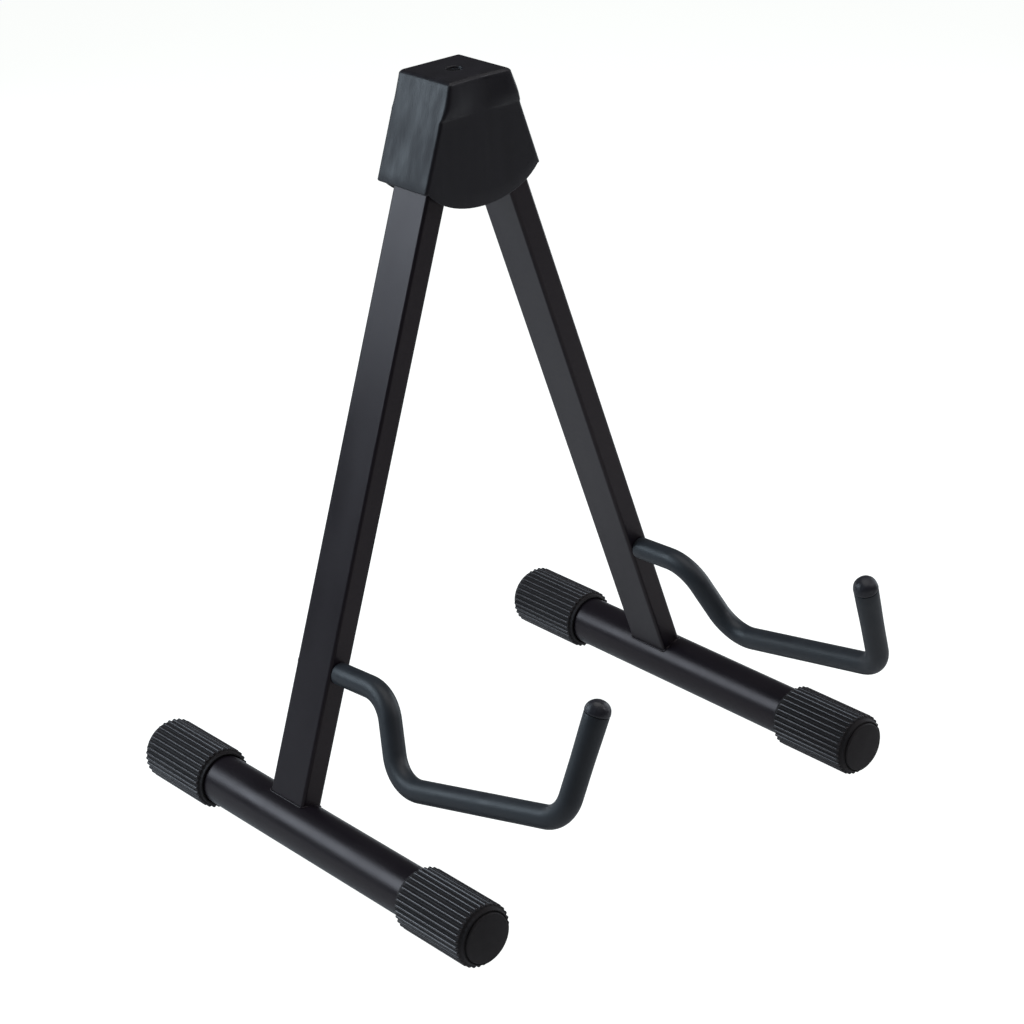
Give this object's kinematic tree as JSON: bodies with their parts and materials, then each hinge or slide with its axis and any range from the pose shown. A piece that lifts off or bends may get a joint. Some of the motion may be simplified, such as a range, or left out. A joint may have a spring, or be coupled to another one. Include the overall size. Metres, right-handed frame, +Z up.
{
  "type": "folding guitar stand",
  "caption": "Folding A-frame floor stand with two tube legs, ribbed rubber feet, a covered head hinge and a sleeved support arm on each leg.",
  "frame": {"origin": "on the floor, midway across the stand and midway between its foremost and rearmost points", "axes": "+Z up; -Y is the front, where the arms reach forward; +X to the stand's right as seen from the front"},
  "size_m": [0.3528, 0.3682, 0.4585],
  "materials": {
    "powder_coat": "satin black powder coat",
    "foot_rubber": "moulded black rubber",
    "head_cover": "matte black moulded rubber",
    "arm_sleeve": "satin slate black soft sleeve",
    "arm_tip": "black dipped rubber tip, slightly glossy",
    "zinc_steel": "zinc plated",
    "nylon": "natural nylon",
    "black_plastic": "moulded black plastic"
  },
  "bodies": {
    "head": {"head_cover": "head_cover", "head_bracket": "powder_coat", "cover_screw": "zinc_steel", "cover_nut": "zinc_steel", "left_pivot_rivet": "zinc_steel", "left_front_washer": "nylon", "left_back_washer": "nylon", "right_pivot_rivet": "zinc_steel", "right_front_washer": "nylon", "right_back_washer": "nylon"},
    "left_frame": {"left_leg": "powder_coat", "left_leg_plug": "black_plastic", "left_rail": "powder_coat", "left_front_foot": "foot_rubber", "left_back_foot": "foot_rubber", "left_arm_rod": "powder_coat", "left_arm_sleeve": "arm_sleeve", "left_arm_tip": "arm_tip"},
    "right_frame": {"right_leg": "powder_coat", "right_leg_plug": "black_plastic", "right_rail": "powder_coat", "right_front_foot": "foot_rubber", "right_back_foot": "foot_rubber", "right_arm_rod": "powder_coat", "right_arm_sleeve": "arm_sleeve", "right_arm_tip": "arm_tip"}
  },
  "joints": [
    {"name": "left_leg_fold", "type": "hinge", "parent": "head", "child": "left_frame", "pos_m": [-0.01531, 0.05097, 0.43444], "axis": [0, -1, 0], "range_deg": [0, 17.8]},
    {"name": "right_leg_fold", "type": "hinge", "parent": "head", "child": "right_frame", "pos_m": [0.01531, 0.05097, 0.43444], "axis": [0, 1, 0], "range_deg": [0, 17.8]}
  ]
}
